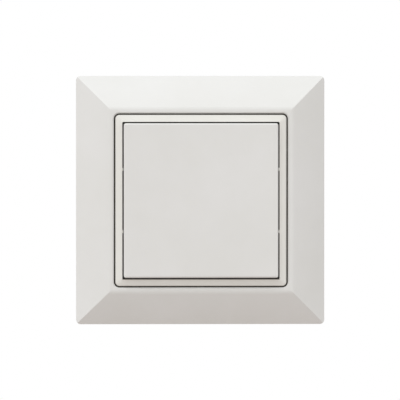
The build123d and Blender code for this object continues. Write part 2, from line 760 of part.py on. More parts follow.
# Module tray
with BuildPart() as module_base:
    square_block(plate_high, cover_low, module_half, module_corner)
    square_block(floor_high, cover_low, tray_inner, module_corner - module_wall, mode=Mode.SUBTRACT)
    for side in (-1, 1):
        wall_middle = side * (module_half - module_wall / 2)
        # Ear with the pivot pin of the rocker
        block(wall_middle - module_wall / 2, wall_middle + module_wall / 2, -ear_half, ear_half,
              cover_low, ear_high)
        pin_low = min(side * module_half, side * (module_half + pin_length))
        rod_along_x(pin_low, pin_low + pin_length, 0, pivot_height, pin_radius)
        # Bearing post for the see-saw, open to the front
        post_low = min(side * stub_post_low_x, side * stub_post_high_x)
        post_high = max(side * stub_post_low_x, side * stub_post_high_x)
        block(post_low, post_high, swing_z - stub_post_half, swing_z + stub_post_half,
              floor_high, stub_post_high)
        bore = stub_radius + running_gap
        rod_along_x(post_low, post_high, swing_z, gen_height, bore, mode=Mode.SUBTRACT)
        block(post_low, post_high, swing_z - bore, swing_z + bore,
              gen_height, stub_post_high, mode=Mode.SUBTRACT)
        # Post that clamps the leaf spring
        spring_post_half = spring_width / 2 + spring_post_wall
        block(side * spring_x - spring_post_half, side * spring_x + spring_post_half,
              spring_post_low_z, spring_high_z + spring_post_end, floor_high, gen_height + spring_post_rise)
        block(side * spring_x - spring_width / 2, side * spring_x + spring_width / 2,
              spring_post_low_z - cut_spare, spring_high_z,
              gen_height - spring_thick / 2, gen_height + spring_thick / 2, mode=Mode.SUBTRACT)
        # Notches for the latches of the plate
        for offset in latch_offsets:
            notch_middle = side * (module_half - latch_nose / 2)
            block(notch_middle - latch_nose / 2, notch_middle + latch_nose / 2,
                  offset - latch_width / 2 - latch_side_gap, offset + latch_width / 2 + latch_side_gap,
                  latch_nose_high - snap_gap, latch_top + snap_gap, mode=Mode.SUBTRACT)
    # Posts under the legs of the core, with a shoulder outside each leg
    for side in (-1, 1):
        for z in core_post_rows:
            shoulder = side * (leg_outer_x + press_gap + shoulder_half)
            post_low = min(side * (core_post_x - core_post_half), shoulder)
            post_high = max(side * (core_post_x - core_post_half), shoulder)
            block(post_low, post_high, z - core_post_half, z + core_post_half, floor_high, core_low)
            block(shoulder - shoulder_half, shoulder + shoulder_half,
                  z - core_post_half, z + core_post_half, floor_high, core_high)
    # Rests and pegs for the board
    for x, z in peg_places:
        block(x - rest_half_x, x + rest_half_x, z - rest_half_z, z + rest_half_z, floor_high, board_low)
        with BuildSketch(layer(board_low)) as peg:
            with Locations((x, z)):
                Circle(peg_radius)
        extrude(peg.sketch, amount=board_thick)
    bar_low_z = press_gap + snap_gap - board_half
    block(-bar_half, bar_half, bar_low_z, bar_low_z + bar_thick, floor_high, board_low)
    # Window for the tongue of the bow, and windows for the snaps of the cover
    block(-window_half, window_half, tray_inner - cut_spare / 2, module_half + cut_spare,
          window_low, cover_low, mode=Mode.SUBTRACT)
    for x in snap_offsets:
        for side in (-1, 1):
            z_middle = side * (tray_inner + module_wall / 2)
            block(x - snap_width / 2 - snap_side_gap, x + snap_width / 2 + snap_side_gap,
                  z_middle - module_wall, z_middle + module_wall,
                  snap_low - snap_gap, snap_high + snap_gap, mode=Mode.SUBTRACT)
name_part(module_base, "module_base")

# Module cover
finger_hole_radius = 1.7
cover_edge = 0.25
hold_down_half = 0.6
cover_lip = 0.8
cover_lip_depth = 0.8
with BuildPart() as module_cover:
    square_block(cover_low, cover_high, module_half, module_corner)
    chamfer(edges_at(module_cover, cover_high, module_half), cover_edge)
    lip_half = tray_inner - snap_gap
    square_block(cover_low - cover_lip_depth, cover_low, lip_half)
    square_block(cover_low - cover_lip_depth, cover_low, lip_half - cover_lip, mode=Mode.SUBTRACT)
    for x in snap_offsets:
        for side in (-1, 1):
            nose_low = min(side * lip_half, side * (lip_half + snap_reach))
            block(x - snap_width / 2, x + snap_width / 2, nose_low, nose_low + snap_reach,
                  snap_low, snap_high)
    block(-window_half, window_half, tray_inner - cover_lip - cut_spare, tray_inner,
          cover_low - cover_lip_depth, cover_low, mode=Mode.SUBTRACT)
    for side in (-1, 1):
        ear_middle = side * module_half
        block(ear_middle - module_wall - snap_gap, ear_middle + module_wall + snap_gap,
              -ear_half - snap_gap, ear_half + snap_gap, cover_low, cover_high, mode=Mode.SUBTRACT)
        # Keepers over the stub pins of the see-saw
        keeper_low = min(side * stub_post_low_x, side * stub_post_high_x)
        keeper_high = max(side * stub_post_low_x, side * stub_post_high_x)
        block(keeper_low, keeper_high,
              swing_z - stub_radius + running_gap, swing_z + stub_radius - running_gap,
              gen_height + stub_radius + running_gap, cover_low)
    # Posts that hold the core down
    with BuildSketch(layer(core_high)) as hold_downs:
        with Locations(*[(side * core_post_x, z) for side in (-1, 1) for z in core_post_rows]):
            Rectangle(2 * hold_down_half, 2 * hold_down_half)
    extrude(hold_downs.sketch, amount=cover_low - core_high)
    # Holes for the fingers of the rocker
    with BuildSketch(layer(cover_low)) as finger_holes:
        with GridLocations(2 * finger_place, 2 * finger_place, 2, 2):
            Circle(finger_hole_radius)
    extrude(finger_holes.sketch, amount=cover_thick, mode=Mode.SUBTRACT)
name_part(module_cover, "module_cover")

# Circuit board, open around the generator
with BuildPart() as circuit_board:
    with BuildSketch(layer(board_low)) as board:
        RectangleRounded(2 * board_half, 2 * board_half, board_corner)
        with Locations((0, (board_cut_z + board_half + cut_spare) / 2)):
            Rectangle(2 * board_cut_x, board_half + cut_spare - board_cut_z, mode=Mode.SUBTRACT)
        with Locations(*peg_places):
            Circle(peg_radius + peg_gap, mode=Mode.SUBTRACT)
        with Locations((-terminal_x, terminal_z), (terminal_x, terminal_z)):
            Circle(terminal_hole_radius, mode=Mode.SUBTRACT)
    extrude(board.sketch, amount=board_thick)
name_part(circuit_board, "circuit_board")

# Contact mats, each with two nipples joined by a narrow web
mat_thick = 0.6
mat_pad = 6.4
mat_pad_corner = 1.0
mat_web = 1.1
nipple_gap = 0.3
nipple_high = finger_low - nipple_gap
nipple_base = 2.6
nipple_tip = 1.2
nipple_tip_length = 1.1
nipple_hollow = 1.4
nipple_roof = 1.2
mat_high = board_high + mat_thick
for label, side in (("contact_mat_left", -1), ("contact_mat_right", 1)):
    mat_x = side * finger_place
    with BuildPart() as mat:
        with BuildSketch(layer(board_high)) as sheet:
            with Locations((mat_x, finger_place), (mat_x, -finger_place)):
                RectangleRounded(mat_pad, mat_pad, mat_pad_corner)
            with Locations((mat_x + side * (mat_pad - mat_web) / 2, 0)):
                Rectangle(mat_web, 2 * finger_place)
        extrude(sheet.sketch, amount=mat_thick)
        for z in (-finger_place, finger_place):
            axis_plane = Plane(origin=(mat_x, 0, z), x_dir=(1, 0, 0), z_dir=(0, 0, 1))
            nipple_axis = Axis((mat_x, 0, z), (0, 1, 0))
            with BuildSketch(axis_plane) as nipple:
                with BuildLine():
                    Polyline(
                        (0, -mat_high),
                        (nipple_base, -mat_high),
                        (nipple_tip, -nipple_high + nipple_tip_length),
                        (nipple_tip, -nipple_high),
                        (0, -nipple_high),
                        close=True,
                    )
                make_face()
            revolve(nipple.sketch, axis=nipple_axis)
            with BuildSketch(axis_plane) as hollow:
                with BuildLine():
                    Polyline(
                        (0, -board_high),
                        (nipple_hollow, -board_high),
                        (nipple_hollow, -board_high - nipple_roof),
                        (0, -board_high - nipple_roof),
                        close=True,
                    )
                make_face()
            revolve(hollow.sketch, axis=nipple_axis, mode=Mode.SUBTRACT)
    name_part(mat, label)

# Strip of the board between the generator and the web of a mat, clear of the mats' pads
strip_low_x = board_cut_x
strip_high_x = finger_place + mat_pad / 2 - mat_web
strip_x = (strip_low_x + strip_high_x) / 2
strip_width = strip_high_x - strip_low_x
strip_half = finger_place - mat_pad / 2
component_edge = 0.12

# Components: label, side, then middle and length as shares of the strip's half length,
# width as a share of the strip's width, and height
components = (
    ("radio_chip", -1, 0.40, 0.44, 0.75, 0.9),
    ("crystal", -1, -0.05, 0.22, 0.48, 0.7),
    ("rectifier", -1, -0.55, 0.41, 0.60, 2.4),
    ("chip_antenna", -1, 0.80, 0.18, 0.78, 1.0),
    ("energy_manager", 1, 0.44, 0.35, 0.60, 0.9),
)
for label, side, middle, length, width, height in components:
    with BuildPart() as component:
        block(side * strip_x - width * strip_width / 2, side * strip_x + width * strip_width / 2,
              (middle - length / 2) * strip_half, (middle + length / 2) * strip_half,
              board_high, board_high + height)
        chamfer(component.faces().sort_by(Axis.Y)[0].edges(), component_edge)
    name_part(component, label)

capacitor_rows = (-0.02, -0.44)
capacitor_width = 0.53
capacitor_length = 0.25
capacitor_height = 1.9
with BuildPart() as storage_capacitors:
    for middle in capacitor_rows:
        block(strip_x - capacitor_width * strip_width / 2, strip_x + capacitor_width * strip_width / 2,
              (middle - capacitor_length / 2) * strip_half, (middle + capacitor_length / 2) * strip_half,
              board_high, board_high + capacitor_height)
    chamfer(storage_capacitors.faces().sort_by(Axis.Y)[:2].edges(), component_edge)
name_part(storage_capacitors, "storage_capacitors")
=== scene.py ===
# %% [markdown]
# A wireless wall switch
#
# The switch is a square frame with four sloping sides, a narrow ring inside it and one large rocker that
# tips up or down. All that shows is moulded in warm white plastic, so the picture is made of shades of
# one colour: how each face leans towards the light matters more than any pattern.
# The construction is already finished in a CAD model. This script loads it, gives every piece its
# finish, adds the fine work that is easier to model here, and sets up a small studio.

# %% Load the finished construction
import math

import bmesh
import bpy
from mathutils import Matrix, Vector


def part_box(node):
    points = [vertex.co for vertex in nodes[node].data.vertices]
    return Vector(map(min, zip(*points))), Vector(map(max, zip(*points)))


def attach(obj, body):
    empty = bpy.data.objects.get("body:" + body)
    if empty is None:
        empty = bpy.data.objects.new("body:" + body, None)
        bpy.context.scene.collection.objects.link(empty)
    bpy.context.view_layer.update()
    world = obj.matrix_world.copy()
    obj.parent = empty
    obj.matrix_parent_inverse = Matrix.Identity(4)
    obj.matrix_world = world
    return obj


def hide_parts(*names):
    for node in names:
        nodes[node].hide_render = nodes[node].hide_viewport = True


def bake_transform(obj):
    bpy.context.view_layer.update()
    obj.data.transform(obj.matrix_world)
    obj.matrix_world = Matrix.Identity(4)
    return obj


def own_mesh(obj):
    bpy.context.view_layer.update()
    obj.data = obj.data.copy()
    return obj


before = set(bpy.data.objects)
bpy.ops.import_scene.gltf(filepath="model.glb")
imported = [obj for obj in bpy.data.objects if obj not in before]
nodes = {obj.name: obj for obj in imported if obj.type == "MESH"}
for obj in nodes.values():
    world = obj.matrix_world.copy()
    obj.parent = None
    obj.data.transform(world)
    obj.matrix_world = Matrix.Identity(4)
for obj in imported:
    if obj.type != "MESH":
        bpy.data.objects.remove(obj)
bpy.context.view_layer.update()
MM = 0.001

# %% [markdown]
# Real plastic is never one flat colour. A mould leaves a very fine grain, the melt leaves faint broad
# clouds, and both change how the light spreads. The same two effects are needed in almost every
# material here, so they are built once as a shader node group and placed with different values.
# The group reads Object coordinates, which are metres on the real piece, so the grain keeps its size.

# %% A node group for mould grain and clouds
GRAIN_SCALE = 5000.0
CLOUD_SCALE = 45.0


def new_group(name, inputs, outputs):
    """Makes an empty shader node group with float sockets and returns it with its two end nodes."""
    group = bpy.data.node_groups.new(name, "ShaderNodeTree")
    for label, value in inputs:
        socket = group.interface.new_socket(label, in_out="INPUT", socket_type="NodeSocketFloat")
        socket.default_value = value
    for label in outputs:
        group.interface.new_socket(label, in_out="OUTPUT", socket_type="NodeSocketFloat")
    start = group.nodes.new("NodeGroupInput")
    end = group.nodes.new("NodeGroupOutput")
    return group, start, end


def make_mould_grain():
    """Fine grain as a height, and broad clouds as a value about one half."""
    group, start, end = new_group(
        "mould_grain", (("Grain Scale", GRAIN_SCALE), ("Cloud Scale", CLOUD_SCALE)), ("Height", "Clouds"))
    where = group.nodes.new("ShaderNodeTexCoord")
    grain = group.nodes.new("ShaderNodeTexNoise")
    grain.inputs["Detail"].default_value = 2.0
    clouds = group.nodes.new("ShaderNodeTexNoise")
    clouds.inputs["Detail"].default_value = 3.0
    clouds.inputs["Roughness"].default_value = 0.6
    link = group.links.new
    link(where.outputs["Object"], grain.inputs["Vector"])
    link(where.outputs["Object"], clouds.inputs["Vector"])
    link(start.outputs["Grain Scale"], grain.inputs["Scale"])
    link(start.outputs["Cloud Scale"], clouds.inputs["Scale"])
    link(grain.outputs["Fac"], end.inputs["Height"])
    link(clouds.outputs["Fac"], end.inputs["Clouds"])
    return group


mould_grain = make_mould_grain()
print("group:", mould_grain.name)

# %% [markdown]
# Colours are easiest to judge as the 0 to 255 values a photograph shows, but Blender's sockets hold
# linear light, so one helper does the conversion. The others place a shared group in a material, let a
# changing value run the colour between two close shades, and let it run the roughness and the bump. A
# plastic then takes one line: its clouds drive colour and gloss, and its grain drives the bump.

# %% Helpers for materials
SHADE_LOW, SHADE_HIGH = 0.35, 0.65
GLOSS_LOW, GLOSS_HIGH = 0.3, 0.7


def shade(red, green, blue):
    """A colour written as the 0 to 255 values of a photograph, as linear light for a socket."""
    def linear(value):
        part = value / 255.0
        return part / 12.92 if part <= 0.04045 else ((part + 0.055) / 1.055) ** 2.4
    return (linear(red), linear(green), linear(blue), 1.0)


def new_material(name):
    """An empty node material with its Principled shader."""
    material = bpy.data.materials.new(name)
    material.use_nodes = True
    return material, material.node_tree.nodes["Principled BSDF"]


def set_inputs(node, values):
    """Sets inputs by their names, in which an underscore stands for a space."""
    for label, value in values.items():
        node.inputs[label.replace("_", " ")].default_value = value
    return node


def add_node(material, kind, **values):
    """Adds a node and sets the inputs that are named."""
    return set_inputs(material.node_tree.nodes.new(kind), values)


def add_group(material, group, **values):
    """Places a shared node group in a material, with its own values."""
    node = material.node_tree.nodes.new("ShaderNodeGroup")
    node.node_tree = group
    return set_inputs(node, values)


def add_shades(material, surface, value, dark, light, low=SHADE_LOW, high=SHADE_HIGH):
    """Runs the surface's colour from a dark to a light shade as a value goes from low to high."""
    link = material.node_tree.links.new
    ramp = material.node_tree.nodes.new("ShaderNodeValToRGB")
    for element, position, colour in zip(ramp.color_ramp.elements, (low, high), (dark, light)):
        element.position = position
        element.color = colour
    link(value, ramp.inputs["Fac"])
    link(ramp.outputs["Color"], surface.inputs["Base Color"])


def add_finish(material, surface, value, height, roughness, spread, strength, depth):
    """Runs the roughness with a value and the bump with a height, whose depth is in millimetres."""
    link = material.node_tree.links.new
    gloss = add_node(material, "ShaderNodeMapRange", From_Min=GLOSS_LOW, From_Max=GLOSS_HIGH,
                     To_Min=roughness - spread, To_Max=roughness + spread)
    bump = add_node(material, "ShaderNodeBump", Strength=strength, Distance=depth * MM)
    link(value, gloss.inputs["Value"])
    link(gloss.outputs["Result"], surface.inputs["Roughness"])
    link(height, bump.inputs["Height"])
    link(bump.outputs["Normal"], surface.inputs["Normal"])


# %% Helpers for plastics
PLASTIC_SPREAD = 0.05
GRAIN_STRENGTH = 0.35


def moulded(name, dark, light, roughness, grain_scale=GRAIN_SCALE, grain_depth=0.004,
            cloud_scale=CLOUD_SCALE):
    """Moulded plastic: two close shades, a narrow band of roughness and a fine grain."""
    material, surface = new_material(name)
    grain = add_group(material, mould_grain, Grain_Scale=grain_scale, Cloud_Scale=cloud_scale)
    add_shades(material, surface, grain.outputs["Clouds"], dark, light)
    add_finish(material, surface, grain.outputs["Clouds"], grain.outputs["Height"],
               roughness, PLASTIC_SPREAD, GRAIN_STRENGTH, grain_depth)
    return material


def dress(material, *names):
    """Gives CAD nodes a material."""
    for name in names:
        piece = nodes[name]
        piece.data.materials.clear()
        piece.data.materials.append(material)


print("shades drift where the clouds go from", SHADE_LOW, "to", SHADE_HIGH)

# %% [markdown]
# Three pieces show from the room. Their plastic is glossy enough to be wiped clean, but its highlights
# are broad and soft. The narrow gaps between them get a painted shade, a dark colour laid on their
# walls, so that the gaps look almost black from the front. A second group marks where it is painted:
# a square band seen from the front, and everything in it that lies deeper than a given height above the
# wall. The band can be shifted down a little, which paints a shadow under the rocker's lower edge and
# makes the lower gap the widest. The rocker gets no painted shade, and neither do the ring's four small
# guides, which keep the rocker in the middle and show as pale ticks in the dark gap to its left and
# right. Each guide has a place round it that the painted shade leaves out, and the GUIDE numbers give
# its middle above or below the centre, its half height and how far out it goes, in millimetres.

# %% A node group for painted shade in the gaps
# The colour below is painted shade, standing in for the shade inside the gaps.
PAINTED_SHADE = shade(98, 90, 76)
PAINTED_SHADE_FROM = 24.4
PAINTED_SHADE_FADE = 0.35
GUIDE_AT = 10.0
GUIDE_HALF = 0.55
GUIDE_TO = 25.42


def make_painted_gap_shade():
    """A mask for painted shade that is 1 deep in a square band about the middle, and fades out towards
    its height.
    """
    group, start, end = new_group(
        "painted_gap_shade", (("Side From", PAINTED_SHADE_FROM * MM), ("Side To", 0.0286), ("Height", 0.0115),
                     ("Drop", 0.0), ("Amount", 1.0)), ("Mask",))
    link = group.links.new

    def step(operation, *sources):
        """A math node fed by sockets or plain numbers."""
        node = group.nodes.new("ShaderNodeMath")
        node.operation = operation
        for number, source in enumerate(sources):
            if isinstance(source, bpy.types.NodeSocket):
                link(source, node.inputs[number])
            else:
                node.inputs[number].default_value = source
        return node.outputs["Value"]

    where = group.nodes.new("ShaderNodeTexCoord")
    apart = group.nodes.new("ShaderNodeSeparateXYZ")
    link(where.outputs["Object"], apart.inputs["Vector"])
    across = step("ABSOLUTE", apart.outputs["X"])
    dropped = step("ADD", apart.outputs["Z"], start.outputs["Drop"])
    side = step("MAXIMUM", across, step("ABSOLUTE", dropped))
    band = step("MULTIPLY", step("GREATER_THAN", side, start.outputs["Side From"]),
                step("LESS_THAN", side, start.outputs["Side To"]))
    near_guide = step("COMPARE", step("ABSOLUTE", apart.outputs["Z"]), GUIDE_AT * MM, GUIDE_HALF * MM)
    guide = step("MULTIPLY", near_guide, step("LESS_THAN", across, GUIDE_TO * MM))
    inside = step("MULTIPLY", band, step("SUBTRACT", 1.0, guide))
    depth = group.nodes.new("ShaderNodeMapRange")
    depth.interpolation_type = "SMOOTHSTEP"
    depth.inputs["From Max"].default_value = PAINTED_SHADE_FADE * MM
    link(step("ADD", start.outputs["Height"], apart.outputs["Y"]), depth.inputs["Value"])
    # How strong the painted shade is: its fade with depth, times Amount.
    shade_strength = step("MULTIPLY", depth.outputs["Result"], start.outputs["Amount"])
    link(step("MULTIPLY", inside, shade_strength), end.inputs["Mask"])
    return group


painted_gap_shade = make_painted_gap_shade()


def add_painted_shade(material, height, side_to, drop=0.0, amount=1.0):
    """Mixes a painted shade over a plastic's colour below a height and nearer than a distance, in
    millimetres.
    """
    link = material.node_tree.links.new
    base = material.node_tree.nodes["Principled BSDF"].inputs["Base Color"]
    plain = base.links[0].from_socket
    mask = add_group(material, painted_gap_shade, Height=height * MM, Side_To=side_to * MM, Drop=drop * MM,
                     Amount=amount)
    over = material.node_tree.nodes.new("ShaderNodeMix")
    over.data_type = "RGBA"
    over.inputs["B"].default_value = PAINTED_SHADE
    link(mask.outputs["Mask"], over.inputs["Factor"])
    link(plain, over.inputs["A"])
    link(over.outputs["Result"], base)


print("group:", painted_gap_shade.name, "with", [socket.name for socket in painted_gap_shade.interface.items_tree])

# %% [markdown]
# Now the white itself. The outer frame and the rocker share one white, and the ring between them is a
# touch warmer. Painted shade is laid on like coats of paint. The first coat darkens the outer gap from
# both of its sides. The ring then gets one for the inner gap, and a last, weaker one along its upper
# edge, which is shifted down a little, so that it paints a shadow on the lower edge, below the rocker.

# %% White plastic of the front
WHITE_DARK, WHITE_LIGHT = shade(227, 227, 224), shade(230, 230, 228)
RING_DARK, RING_LIGHT = shade(231, 230, 224), shade(234, 233, 228)
WHITE_ROUGHNESS = 0.38
frame_white = moulded("frame_white", WHITE_DARK, WHITE_LIGHT, WHITE_ROUGHNESS)
ring_white = moulded("ring_white", RING_DARK, RING_LIGHT, WHITE_ROUGHNESS)
rocker_white = moulded("rocker_white", WHITE_DARK, WHITE_LIGHT, WHITE_ROUGHNESS)
# Painted shade in the outer and inner gaps, and on the last line a painted shadow below the rocker.
add_painted_shade(frame_white, height=11.6, side_to=28.6)
add_painted_shade(ring_white, height=11.8, side_to=28.6)
add_painted_shade(ring_white, height=12.35, side_to=25.4)
add_painted_shade(ring_white, height=12.9, side_to=25.24, drop=0.24, amount=0.7)
dress(frame_white, "design_frame")
dress(ring_white, "intermediate_frame")
dress(rocker_white, "rocker")
print("whites:", frame_white.name, ring_white.name, rocker_white.name)

# %% [markdown]
# Behind the front everything is technical plastic: a matt grey plate, a dark tray and lid around the
# radio module, and a natural white saddle. Their grain is coarser, because nobody polishes those moulds.

# %% Technical plastics
plate_grey = moulded("plate_grey", shade(198, 199, 196), shade(202, 203, 200), 0.55, grain_depth=0.012)
mark_grey = moulded("mark_grey", shade(184, 185, 182), shade(188, 189, 186), 0.3, grain_depth=0.002)
tray_black = moulded("tray_black", shade(36, 37, 40), shade(44, 45, 48), 0.6, grain_depth=0.012)
cover_grey = moulded("cover_grey", shade(70, 73, 77), shade(78, 81, 85), 0.55, grain_depth=0.012)
bow_natural = moulded("bow_natural", shade(214, 211, 200), shade(221, 218, 208), 0.45)
bobbin_natural = moulded("bobbin_natural", shade(206, 198, 174), shade(214, 207, 185), 0.45)
foam_dark = moulded("foam_dark", shade(50, 50, 53), shade(64, 64, 67), 0.85, grain_scale=1500.0,
                    grain_depth=0.25, cloud_scale=1200.0)
silicone_grey = moulded("silicone_grey", shade(108, 110, 112), shade(118, 120, 122), 0.5)
dress(plate_grey, "mounting_plate")
dress(tray_black, "module_base", "magnet_carrier")
dress(cover_grey, "module_cover")
dress(bow_natural, "energy_bow")
dress(bobbin_natural, "coil_bobbin")
dress(foam_dark, "adhesive_pad")
print("plastics so far:", len(bpy.data.materials))

# %% [markdown]
# Metal looks dead without the traces of how it was made. Sheet and strip come off rolls, so they carry
# fine lines in one direction. A third node group stretches a noise along one axis for those lines; the
# Stretch input says how much, and 1 gives an even, cast or plated look instead.

# %% A node group for rolled lines
LINE_SCALE = 3000.0
LINE_STRETCH = 20.0
METAL_SPREAD = 0.06
LINE_STRENGTH = 0.3
LINE_DEPTH = 0.004


def make_rolled_lines():
    """Noise drawn out along Z, as a height and as a value about one half."""
    group, start, end = new_group(
        "rolled_lines", (("Line Scale", LINE_SCALE), ("Stretch", LINE_STRETCH)), ("Height", "Lines"))
    where = group.nodes.new("ShaderNodeTexCoord")
    shorten = group.nodes.new("ShaderNodeMath")
    shorten.operation = "DIVIDE"
    shorten.inputs[0].default_value = 1.0
    along = group.nodes.new("ShaderNodeCombineXYZ")
    set_inputs(along, {"X": 1.0, "Y": 1.0})
    drawn = group.nodes.new("ShaderNodeVectorMath")
    drawn.operation = "MULTIPLY"
    lines = group.nodes.new("ShaderNodeTexNoise")
    lines.inputs["Detail"].default_value = 2.0
    link = group.links.new
    link(start.outputs["Stretch"], shorten.inputs[1])
    link(shorten.outputs["Value"], along.inputs["Z"])
    link(where.outputs["Object"], drawn.inputs[0])
    link(along.outputs["Vector"], drawn.inputs[1])
    link(drawn.outputs["Vector"], lines.inputs["Vector"])
    link(start.outputs["Line Scale"], lines.inputs["Scale"])
    link(lines.outputs["Fac"], end.inputs["Height"])
    link(lines.outputs["Fac"], end.inputs["Lines"])
    return group


rolled_lines = make_rolled_lines()


def metal(name, dark, light, roughness, line_scale=LINE_SCALE, stretch=LINE_STRETCH):
    """Bare or plated metal: two close shades and a band of roughness that follow the lines."""
    material, surface = new_material(name)
    surface.inputs["Metallic"].default_value = 1.0
    lines = add_group(material, rolled_lines, Line_Scale=line_scale, Stretch=stretch)
    add_shades(material, surface, lines.outputs["Lines"], dark, light)
    add_finish(material, surface, lines.outputs["Lines"], lines.outputs["Height"],
               roughness, METAL_SPREAD, LINE_STRENGTH, LINE_DEPTH)
    return material


print("group:", rolled_lines.name)

# %% [markdown]
# The generator is a small machine of bare metals: a nickel-plated magnet between two steel plates, a
# core punched from soft sheet, two bright springs and tinned pins. The chips are moulded black epoxy,
# the capacitors tan, the antenna a pale ceramic, and the board a green lacquer over woven glass.

# %% Metals and electronic materials
magnet_nickel = metal("magnet_nickel", shade(196, 190, 178), shade(208, 203, 192), 0.24, stretch=1.0)
pole_steel = metal("pole_steel", shade(156, 156, 157), shade(168, 168, 169), 0.34, line_scale=6000.0)
core_steel = metal("core_steel", shade(130, 130, 133), shade(142, 142, 145), 0.42, line_scale=6000.0)
spring_bright = metal("spring_bright", shade(184, 185, 188), shade(194, 195, 198), 0.28,
                      line_scale=6000.0, stretch=40.0)
solder_tin = metal("solder_tin", shade(186, 187, 188), shade(204, 205, 206), 0.3,
                   line_scale=1600.0, stretch=1.0)
chip_epoxy = moulded("chip_epoxy", shade(30, 30, 32), shade(37, 37, 39), 0.62, grain_scale=9000.0)
capacitor_tan = moulded("capacitor_tan", shade(166, 128, 72), shade(178, 140, 84), 0.45)
antenna_pale = moulded("antenna_pale", shade(214, 216, 212), shade(224, 226, 222), 0.3)
passive_brown = moulded("passive_brown", shade(128, 104, 82), shade(142, 118, 96), 0.4)
board_green = moulded("board_green", shade(20, 84, 48), shade(28, 98, 58), 0.32, cloud_scale=160.0)
trace_green = moulded("trace_green", shade(44, 118, 66), shade(54, 132, 76), 0.3, cloud_scale=160.0)
dress(magnet_nickel, "magnet")
dress(pole_steel, "pole_plate_front", "pole_plate_rear")
dress(core_steel, "iron_core")
dress(solder_tin, "coil_terminals", "crystal")
dress(chip_epoxy, "radio_chip", "energy_manager", "rectifier")
dress(capacitor_tan, "storage_capacitors")
dress(antenna_pale, "chip_antenna")
dress(board_green, "circuit_board")
print("materials so far:", len(bpy.data.materials))

# %% [markdown]
# From here on, new pieces are modelled. A few helpers keep the cells short: one places a point by its
# height above the wall, one adds a block with rounded edges, one turns a profile about an axis, as a
# lathe does, and one makes the finished object and lets it ride with the CAD body that carries it.

# %% Helpers for places and blocks
EDGE_STEPS = 2
CORNER_STEPS = 5


def place(x, height, z):
    """A point from millimetres to the right, above the wall and upwards."""
    return Vector((x, -height, z)) * MM


def round_edges(shape, edges, offset, segments):
    """The bevel operator with the values that the editor's own bevel starts from."""
    bmesh.ops.bevel(shape, geom=edges, offset=offset, offset_type="OFFSET", affect="EDGES",
                    segments=segments, profile=0.5, material=-1)


def block_mm(shape, x_low, x_high, z_low, z_high, low, high, edge=0.0, slot=0, corner=0.0):
    """Adds a block from limits along X and Z and two heights above the wall, in millimetres.

    corner rounds the four edges that stand on the wall, and edge rounds all the others."""
    near, far = place(x_low, low, z_low), place(x_high, high, z_high)
    size = Vector([abs(length) for length in far - near])
    matrix = Matrix.Translation((near + far) / 2) @ Matrix.Diagonal((*size, 1.0))
    before = set(shape.verts)
    made = bmesh.ops.create_cube(shape, size=1.0, matrix=matrix)["verts"]
    for face in {face for vert in made for face in vert.link_faces}:
        face.material_index = slot
    edges = {edge_of for vert in made for edge_of in vert.link_edges}
    if corner > 0:
        standing = [one for one in edges if abs((one.verts[0].co - one.verts[1].co).y) > 0.5 * size.y]
        round_edges(shape, standing, corner * MM, CORNER_STEPS)
        made = [vert for vert in shape.verts if vert not in before]
        edges = {edge_of for vert in made for edge_of in vert.link_edges
                 if abs((edge_of.verts[0].co - edge_of.verts[1].co).y) < 0.5 * size.y}
    if edge > 0:
        round_edges(shape, list(edges), edge * MM, EDGE_STEPS)


# %% Helpers for turned shapes and finished pieces
SAME_PLACE = 0.001


def add_turned(shape, x, z, profile, slot=0, steps=32):
    """Turns a profile of (radius, height) points about an axis that stands on the wall."""
    before = set(shape.verts)
    verts = [shape.verts.new(place(x + radius, height, z)) for radius, height in profile]
    edges = [shape.edges.new(pair) for pair in zip(verts, verts[1:])]
    bmesh.ops.spin(shape, geom=verts + edges, cent=place(x, 0, z), axis=(0, 1, 0), dvec=(0, 0, 0),
                   angle=2 * math.pi, steps=steps, use_merge=True, use_duplicate=False)
    made = [vert for vert in shape.verts if vert not in before]
    bmesh.ops.remove_doubles(shape, verts=made, dist=SAME_PLACE * MM)
    made = [vert for vert in shape.verts if vert not in before]
    for face in {face for vert in made for face in vert.link_faces}:
        face.material_index = slot


def finish_piece(name, shape, body, *materials, sharp_deg=35.0):
    """Makes the object, smooth except where faces meet at more than an angle, and lets it ride."""
    bmesh.ops.recalc_face_normals(shape, faces=shape.faces)
    mesh = bpy.data.meshes.new(name)
    shape.to_mesh(mesh)
    shape.free()
    for material in materials:
        mesh.materials.append(material)
    mesh.shade_smooth()
    mesh.set_sharp_from_angle(angle=math.radians(sharp_deg))
    piece = bpy.data.objects.new(name, mesh)
    bpy.context.scene.collection.objects.link(piece)
    if body:
        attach(piece, body)
    print(name, "-", len(mesh.polygons), "faces")
    return piece


def box_mm(node):
    """Limits of a CAD node in millimetres: X low and high, height low and high, Z low and high."""
    low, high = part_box(node)
    return (low.x / MM, high.x / MM, -high.y / MM, -low.y / MM, low.z / MM, high.z / MM)


print("winding, in mm:", [round(value, 2) for value in box_mm("coil_winding")])

# %% [markdown]
# Four small guides inside the ring keep the rocker in the middle, and from the front only their ends
# show. In the CAD model they are plain wedges, so each gets a rounded nose that comes nearly up to the
# rocker. A block with bevelled edges is enough, because the whole nose is less than a millimetre.

# %% Noses of the guides
NOSE_CLEAR = 0.12
NOSE_ROOT = 0.56
NOSE_WIDTH = 0.9
NOSE_DROP = 0.2
NOSE_HIGH = 0.8
NOSE_EDGE = 0.08


def make_guide_noses():
    """One nose on each guide, a hair clear of the rocker's side."""
    shape = bmesh.new()
    rocker_side = box_mm("rocker")[1]
    top = box_mm("intermediate_frame")[3] - NOSE_DROP
    for side in (-1, 1):
        near, far = sorted((side * (rocker_side + NOSE_CLEAR), side * (rocker_side + NOSE_ROOT)))
        for z in (-GUIDE_AT, GUIDE_AT):
            block_mm(shape, near, far, z - NOSE_WIDTH / 2, z + NOSE_WIDTH / 2, top - NOSE_HIGH, top,
                     NOSE_EDGE)
    return shape


finish_piece("guide_noses", make_guide_noses(), "housing", ring_white)

